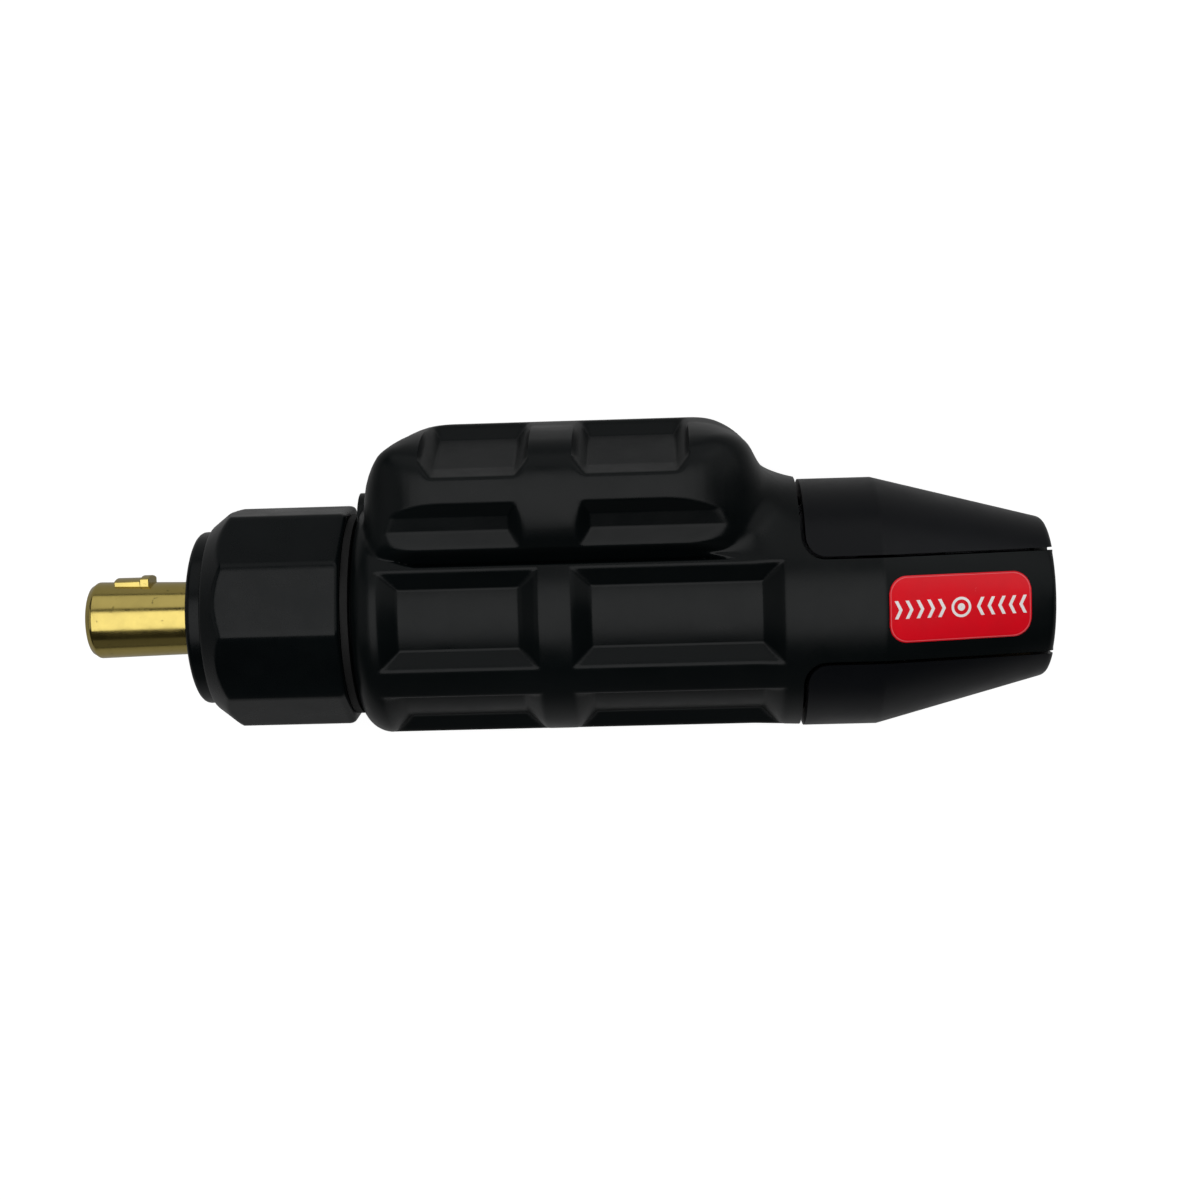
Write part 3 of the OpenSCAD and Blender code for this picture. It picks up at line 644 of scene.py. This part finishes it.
def cut_screw_wells(obj, sides=32):
    """Cut a round well from the left side for the head of each shell screw."""
    outside_z = -HUMP_HALF_W - 0.1
    vertices, faces = [], []
    angles = np.linspace(0, 2 * np.pi, sides, endpoint=False)
    for x, y, depth in SCREW_SITES:
        first = len(vertices)
        for z in (outside_z, -depth):
            vertices += [(x + SCREW_WELL_R * math.cos(a), y + SCREW_WELL_R * math.sin(a), z) for a in angles]
        for i in range(sides):
            low, next_low = first + i, first + (i + 1) % sides
            faces.append((low, next_low, next_low + sides, low + sides))
        faces.append(tuple(first + i for i in reversed(range(sides))))
        faces.append(tuple(first + sides + i for i in range(sides)))
    cutter = mesh_object("cutter", np.array(vertices) * MM, faces, DARK_NYLON)
    cut = obj.modifiers.new("wells", "BOOLEAN")
    cut.operation = "DIFFERENCE"
    cut.solver = "MANIFOLD"
    cut.object = cutter
    bpy.context.view_layer.update()
    obj.data = bpy.data.meshes.new_from_object(obj.evaluated_get(bpy.context.evaluated_depsgraph_get()))
    obj.modifiers.clear()
    bpy.data.objects.remove(cutter)
    smooth_by_angle(obj, 50)


right = half_shell("right_half", 1, SHELL_BLACK)
left = half_shell("left_half", -1, SHELL_BLACK)
cut_screw_wells(left)

for shell, body, nodes in ((right, "right_tongue", ("right_shell", "right_press_tongue")),
                           (left, "left_tongue", ("left_shell", "left_press_tongue"))):
    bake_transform(shell)
    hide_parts(*nodes)


# ---------------------------------------------------------------- nose petals

def petal(name, side, material):
    """A jaw insulator: the wall between the tongues, and the front wall with half of the mouth."""
    corner = SEAM_CORNER_R
    start_x = SHELL_FRONT_X + REAR_SEAM_GAP
    y_edge = SEAM_Y + SEAM_GAP / 2
    xs = np.concatenate([
        start_x + corner * (1 - np.cos(np.linspace(0, np.pi / 2, 11))),
        clustered([start_x + corner, TAPER_X, NOSE_END_X - PETAL_EDGE], 0.8)[1:],
        NOSE_END_X - PETAL_EDGE + np.array([0.35, 0.6, 0.8, 0.93, 1.0]),
    ])
    count = 97
    turns = np.linspace(-1, 1, count)
    outer, inner = [], []
    for x in xs:
        radius = nose_radius(x) + PROUD - rounding_drop(PETAL_EDGE, x - (NOSE_END_X - PETAL_EDGE))
        edge = float(seam_edge(x, start_x, y_edge, corner))
        angle = turns * math.acos(min(1.0, edge / radius))
        outer.append(np.stack([np.full(count, x), radius * np.cos(angle), radius * np.sin(angle)], -1))
        inside = nose_radius(x) - NOSE_WALL
        angle = turns * math.acos(min(0.999, edge / inside))
        inner.append(np.stack([np.full(count, x), inside * np.cos(angle), inside * np.sin(angle)], -1))
    vertices, faces = closed_wall(np.vstack(outer), np.vstack(inner), grid_faces(len(xs), count))
    wall, wall_faces = front_wall(nose_radius(NOSE_END_X) - PETAL_EDGE)
    faces += [tuple(i + len(vertices) for i in face) for face in wall_faces]
    vertices = np.vstack([vertices, wall]) * MM
    vertices[:, 1] *= side
    return mesh_object(name, vertices, faces, material, 50)


def front_wall(reach):
    """Flat front wall of a petal: straight sides, and half of the round mouth."""
    low = JAW_GAP / 2
    mouth = [(MOUTH_R * math.sin(a), MOUTH_R * math.cos(a)) for a in
             np.linspace(math.acos(low / MOUTH_R), -math.acos(low / MOUTH_R), 33)]
    # Each point on the mouth has its own point on the outside, so that the wall is a strip of quads.
    rim = []
    for i, (z, y) in enumerate(mouth):
        t = i / (len(mouth) - 1)
        if t < 0.25:
            rim.append((FRONT_WALL_HALF, low + (reach - 2 - low) * t / 0.25))
        elif t > 0.75:
            rim.append((-FRONT_WALL_HALF, low + (reach - 2 - low) * (1 - t) / 0.25))
        else:
            z = FRONT_WALL_HALF * (1 - (t - 0.25) * 4)
            rim.append((z, reach - 2 + 1.2 * math.sqrt(1 - (z / FRONT_WALL_HALF) ** 2) ** 0.5))
    points = [(z, y) for z, y in mouth] + rim
    outer = np.array([(NOSE_END_X - 0.1, y, z) for z, y in points])
    inner = np.array([(FRONT_WALL_X, y, z) for z, y in points])
    return closed_wall(outer, inner, grid_faces(2, len(mouth)))


# ---------------------------------------------------------------- turned and moulded round pieces

def revolved(profile, count=128, turn=0.0):
    """Points and faces of a closed profile of (x, radius) turned round the X axis."""
    angles = turn + np.linspace(0, 2 * np.pi, count, endpoint=False)
    vertices = [(x, r * math.sin(a), r * math.cos(a)) for x, r in profile for a in angles]
    faces = []
    for i in range(len(profile)):
        for j in range(count):
            a, b = i * count + j, i * count + (j + 1) % count
            up = ((i + 1) % len(profile)) * count
            faces.append((a, b, up + (j + 1) % count, up + j))
    return vertices, faces


def rounded(corners, sizes, n=5):
    """A closed outline whose corners are rounded by the given radii."""
    points = []
    count = len(corners)
    for i, (corner, size) in enumerate(zip(corners, sizes)):
        if size == 0:
            points.append(tuple(corner))
            continue
        p = Vector(corner)
        back = (Vector(corners[i - 1]) - p).normalized()
        ahead = (Vector(corners[(i + 1) % count]) - p).normalized()
        half = back.angle(ahead) / 2
        reach = size / math.tan(half)
        centre = p + (back + ahead).normalized() * size / math.sin(half)
        a, b = p + back * reach - centre, p + ahead * reach - centre
        for k in range(n + 1):
            points.append(tuple(centre + a.slerp(b, k / n)))
    return points


def collar():
    bore_r, hollow_r, rear_wall = PLUG_R + 0.05, 14.5, 3.0
    corners = [(0, bore_r), (0, COLLAR_R), (COLLAR_LEN, COLLAR_R), (COLLAR_LEN, hollow_r),
               (rear_wall, hollow_r), (rear_wall, bore_r)]
    profile = rounded(corners, [0.25, 0.9, 0, 0, 0, 0])
    vertices, faces = revolved(profile)
    return mesh_object("collar", np.array(vertices) * MM, faces, NUT_BLACK, 35)


def nut():
    """Ten flats with soft corners, a cone at the rear, and a bore for the neck."""
    count = 20 * NUT_SIDES
    flat = NUT_CORNER_R * math.cos(math.pi / NUT_SIDES)
    place = np.linspace(0, NUT_SIDES, count, endpoint=False)
    share = place % 1
    # Closer together at the corners, which lie at share 0.
    eased = 0.35 * share + 0.65 * (0.5 - 0.5 * np.cos(np.pi * share))
    from_corner = eased * 2 * np.pi / NUT_SIDES
    flat_start = np.floor(place + 1e-9) * 2 * np.pi / NUT_SIDES
    angles = math.radians(NUT_FIRST_CORNER) + flat_start + from_corner
    from_flat = from_corner - np.pi / NUT_SIDES
    flats = flat / np.cos(from_flat)
    across = flat * np.tan(np.abs(from_flat))
    limit = flat * math.tan(math.pi / NUT_SIDES)
    flats = flats - NUT_CORNER_DROP * np.exp(-((limit - across) / 0.35) ** 2)
    x_rear, x_front = NUT_X
    xs = np.concatenate([
        [x_rear, x_rear + 0.06, x_rear + 0.2, x_rear + NUT_REAR_EDGE],
        clustered([x_rear + NUT_REAR_EDGE, x_rear + 6.0, x_front - NUT_FRONT_EDGE], 0.35)[1:],
        x_front - NUT_FRONT_EDGE + np.array([0.3, 0.6, 0.85, 1.03, 1.14, 1.2]),
    ])
    rings = []
    for x in xs:
        cone = NUT_REAR_R + (x - x_rear) * NUT_CONE
        rear_edge = rounding_drop(NUT_REAR_EDGE, NUT_REAR_EDGE - (x - x_rear))
        front_edge = rounding_drop(NUT_FRONT_EDGE, x - (x_front - NUT_FRONT_EDGE)) * 0.7
        radius = smooth_min(flats, np.full(count, cone), 0.15) - rear_edge - front_edge
        rings.append(np.stack([np.full(count, x), radius * np.sin(angles), radius * np.cos(angles)], -1))
    for x in (x_front, x_rear):
        rings.append(np.stack([np.full(count, x), NUT_BORE_R * np.sin(angles), NUT_BORE_R * np.cos(angles)], -1))
    vertices = np.vstack(rings)
    faces = []
    for i in range(len(rings)):
        for j in range(count):
            k = (j + 1) % count
            up = (i + 1) % len(rings)
            faces.append((i * count + j, i * count + k, up * count + k, up * count + j))
    return mesh_object("ten_sided_nut", vertices * MM, faces, NUT_BLACK, 30)


def plug():
    """The brass pin, and its locking lug with two heights."""
    front_x, centre_r = 2.9, 0.01
    corners = [(-PLUG_LEN, centre_r), (-PLUG_LEN, PLUG_R - 0.7), (-PLUG_LEN + 0.6, PLUG_R), (front_x, PLUG_R),
               (front_x, centre_r)]
    profile = rounded(corners, [0, 0.3, 0.5, 0, 0])
    vertices, faces = revolved(profile, 160)
    stations = [(-16.0, LUG_R), (-11.2, LUG_R), (-11.2, LUG_R + 0.4), (-9.6, LUG_R + 0.4)]
    zs = np.linspace(-LUG_W / 2, LUG_W / 2, 13)
    top = [(x, math.sqrt(r * r - z * z), z) for x, r in stations for z in zs]
    low = [(x, PLUG_R - 1.6, z) for x, r in stations for z in zs]
    lug, lug_faces = closed_wall(np.array(top), np.array(low), grid_faces(len(stations), len(zs)))
    faces += [tuple(i + len(vertices) for i in face) for face in lug_faces]
    vertices = np.array(vertices + [tuple(v) for v in lug]) * MM
    obj = mesh_object("bayonet_plug", vertices, faces, BRASS, 35)
    add_bevel(obj, 0.16, 3, 40)
    return obj


def neck():
    """The handle's threaded neck, which the nut runs on."""
    columns = 96
    xs = np.arange(COLLAR_LEN - 0.4, BODY_REAR_X + 1.5, 0.2)
    turn = np.linspace(0, 2 * np.pi, columns + 1)
    grid_x, grid_a = np.meshgrid(xs, turn, indexing="ij")
    phase = np.abs(((grid_x / THREAD_PITCH - grid_a / (2 * np.pi)) % 1) - 0.5) * 2
    cut = THREAD_DEPTH * smoothstep(phase, 0.30, 0.78)
    cut = cut * smoothstep(grid_x, xs[0] + 0.3, xs[0] + 1.5)
    cut = cut * (1 - smoothstep(grid_x, THREAD_END_X, THREAD_END_X + 1.5))
    radius = NECK_R - 0.05 - cut
    outer = np.stack([grid_x, radius * np.sin(grid_a), radius * np.cos(grid_a)], -1).reshape(-1, 3)
    hollow = [grid_x, NECK_HOLLOW_R * np.sin(grid_a), NECK_HOLLOW_R * np.cos(grid_a)]
    inner = np.stack(hollow, -1).reshape(-1, 3)
    vertices, faces = closed_wall(outer, inner, grid_faces(len(xs), columns + 1))
    return mesh_object("threaded_neck", vertices * MM, faces, NUT_BLACK, 50)


# ---------------------------------------------------------------- labels

def label_surface(u, v, lift, side):
    """A point on the tongue from its place on the flat label, in millimetres."""
    x = LABEL_X + LABEL_LEN / 2 + u
    radius = nose_radius(x) + lift
    return (x, radius * math.sin(v / radius), side * radius * math.cos(v / radius))


def label(name, side):
    """A label with round corners and slightly convex ends. Its printed border and symbol are separate pieces."""
    half_u, half_v, corner = LABEL_LEN / 2, LABEL_W / 2, LABEL_CORNER_R
    us = clustered([-half_u, -half_u + corner, half_u - corner, half_u], 0.45, 0.3)
    shares = np.linspace(-1, 1, 33)
    top, base = [], []
    for u in us:
        over = max(0.0, abs(u) - (half_u - corner))
        half = half_v - corner + math.sqrt(max(0.0, corner ** 2 - over ** 2))
        half = max(half, half_v - corner + 0.25)
        top += [label_surface(u, s * half, LABEL_T - 0.10 * (abs(s) > 0.99), side) for s in shares]
        base += [label_surface(u, s * half, -0.05, side) for s in shares]
    vertices, faces = closed_wall(np.array(top), np.array(base), grid_faces(len(us), len(shares)))
    return mesh_object(name, vertices * MM, faces, LABEL_RED, 60)


def printed(name, side, shapes, material, lift=0.035):
    """Thin raised print on the label. Each shape is a strip of point pairs on the flat label."""
    vertices, faces = [], []
    for strip in shapes:
        top = np.array([label_surface(u, v, LABEL_T + lift, side) for pair in strip for u, v in pair])
        base = np.array([label_surface(u, v, LABEL_T - 0.04, side) for pair in strip for u, v in pair])
        points, strip_faces = closed_wall(top, base, grid_faces(len(strip), 2))
        faces += [tuple(i + len(vertices) for i in face) for face in strip_faces]
        vertices += list(points)
    return mesh_object(name, np.array(vertices) * MM, faces, material, 60)


def chevron(u, size, width, way):
    """An arrowhead whose point is at u, opening away from its way."""
    back = -way * size * 0.5
    arm = [(u + back, size), (u, 0.0), (u + back, -size)]
    return [[(p[0] - way * width, p[1]), p] for p in dense(arm)]


def dense(points, n=8):
    out = []
    for (ax, ay), (bx, by) in zip(points, points[1:]):
        out += [(ax + (bx - ax) * k / n, ay + (by - ay) * k / n) for k in range(n)]
    return out + [points[-1]]


def ring(u, radius, width, n=40):
    return [[(u + r * math.cos(a), r * math.sin(a)) for r in (radius - width, radius)]
            for a in np.linspace(0, 2 * np.pi, n + 1)]


def press_symbol():
    """Arrows that point to a ring: press at this spot."""
    shapes = [ring(0, 1.75, 0.45), ring(0, 0.65, 0.6)]
    for way in (1, -1):
        for k in range(5):
            shapes.append(chevron(-way * (2.75 + 1.9 * k), 1.55, 0.6, way))
    return shapes


def border_lines():
    """A thin line just inside the label's edge."""
    half_u, half_v, r = LABEL_LEN / 2 - 0.2, LABEL_W / 2 - 0.2, LABEL_CORNER_R - 0.2
    outline = []
    for sx, sy, start in ((1, 1, 0), (-1, 1, 90), (-1, -1, 180), (1, -1, 270)):
        outline += arc(sx * (half_u - r), sy * (half_v - r), r, start, start + 90, 8)
    outline = dense(outline + outline[:1], 3)
    shape = []
    for u, v in outline:
        shape.append([(u, v), (u * (1 - 0.14 / half_u), v * (1 - 0.14 / half_v))])
    return [shape]


# ---------------------------------------------------------------- pieces and the bodies they ride on

for side, name, body, node in (
    (1, "upper", "upper_jaw", "upper_jaw_insulator"),
    (-1, "lower", "holder_body", "lower_jaw_insulator"),
):
    piece = petal(name + "_petal", side, NOSE_BLACK)
    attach(piece, body)
    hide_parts(node)

for piece, body, node, slot in (
    (collar(), "holder_body", "rear_collar", "black_nut"),
    (nut(), "turning_nut", "sleeve_nut", "black_nut"),
    (plug(), "holder_body", "plug_pin", "brass"),
    (label("right_tag", 1), "right_tongue", "right_label", "red_label"),
    (label("left_tag", -1), "left_tongue", "left_label", "red_label"),
):
    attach(piece, body)
    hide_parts(node)

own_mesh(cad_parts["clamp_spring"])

thread = neck()
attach(thread, "holder_body")

for side, name in ((1, "right"), (-1, "left")):
    prints = (("symbol", press_symbol(), PRINT_WHITE), ("border", border_lines(), PRINT_PINK))
    for what, shapes, material in prints:
        piece = printed(name + "_" + what, side, shapes, material)
        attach(piece, name + "_tongue")


# ---------------------------------------------------------------- stage, lights and camera

def area_light(name, place, target, size, power):
    light = bpy.data.lights.new(name, "AREA")
    light.shape = "RECTANGLE"
    light.size, light.size_y = size
    light.energy = power
    obj = bpy.data.objects.new(name, light)
    obj.location = place
    obj.rotation_euler = (Vector(target) - Vector(place)).to_track_quat("-Z", "Y").to_euler()
    bpy.context.scene.collection.objects.link(obj)
    return obj


def radiant_panel(name, place, target, size, radiance):
    """A softbox that looks this bright wherever it is seen from."""
    return area_light(name, place, target, size, radiance * math.pi * size[0] * size[1])


def studio():
    floor_z = cad_box[0].z - 0.0002
    corners = [(x, y, floor_z) for x, y in ((-3, -3), (3, -3), (3, 3), (-3, 3))]
    floor = mesh_object("floor", corners, [(0, 1, 2, 3)], floor_material())
    radiant_panel("overhead", (0.05, 0.02, 0.75), (0.05, 0.02, 0), (1.0, 0.80), 1.9)
    radiant_panel("hump_side", (0.05, 0.80, 0.42), (0.05, 0, 0), (1.3, 0.75), 0.75)
    radiant_panel("nose_side", (0.85, 0.50, 0.45), (0.05, 0, 0), (0.9, 0.8), 0.74)
    radiant_panel("rear_side", (-0.85, 0.10, 0.45), (0.05, 0, 0), (0.8, 0.7), 0.40)
    radiant_panel("low_side", (0.05, -0.95, 0.30), (0.05, 0, 0), (1.4, 0.5), 0.09)
    # Pale where the camera sees past the floor, and dim to the object.
    world = bpy.data.worlds.new("studio")
    bpy.context.scene.world = world
    world.use_nodes = True
    background = world.node_tree.nodes["Background"]
    background.inputs["Color"].default_value = (1, 1, 1, 1)
    path = world.node_tree.nodes.new("ShaderNodeLightPath")
    level = world.node_tree.nodes.new("ShaderNodeMapRange")
    level.inputs["To Min"].default_value = 0.022
    level.inputs["To Max"].default_value = 0.86
    world.node_tree.links.new(path.outputs["Is Camera Ray"], level.inputs["Value"])
    world.node_tree.links.new(level.outputs[0], background.inputs["Strength"])
    bpy.context.scene.view_settings.view_transform = "Standard"


def floor_material():
    """Pale floor that shows white to the camera and lights the object's underside only a little."""
    n = Nodes("pale_floor")
    tone = n.mix(n.noise(9, 2), (0.24, 0.24, 0.24), (0.26, 0.26, 0.26))
    seen = n.add("ShaderNodeLightPath").outputs["Is Camera Ray"]
    glow = n.math("ADD", n.math("MULTIPLY", seen, 0.76), 0.14)
    n.set(Base_Color=tone, Roughness=0.9, Emission_Color=(1, 1, 1), Emission_Strength=glow)
    n.shader.inputs["Specular IOR Level"].default_value = 0.0
    return n.material


def camera():
    data = bpy.data.cameras.new("camera")
    data.lens = 55.5
    data.sensor_width = 36
    obj = bpy.data.objects.new("camera", data)
    right_axis = Vector((0.9990, -0.0296, -0.0344)).normalized()
    back = Vector((0.0367, 0.0815, 0.9960)).normalized()
    right_axis = (right_axis - back * right_axis.dot(back)).normalized()
    up = back.cross(right_axis)
    turn = Matrix((right_axis, up, back)).transposed()
    obj.matrix_world = Matrix.Translation(Vector((84.9, 28.8, 336.1)) * MM) @ turn.to_4x4()
    bpy.context.scene.collection.objects.link(obj)
    bpy.context.scene.camera = obj


studio()
camera()
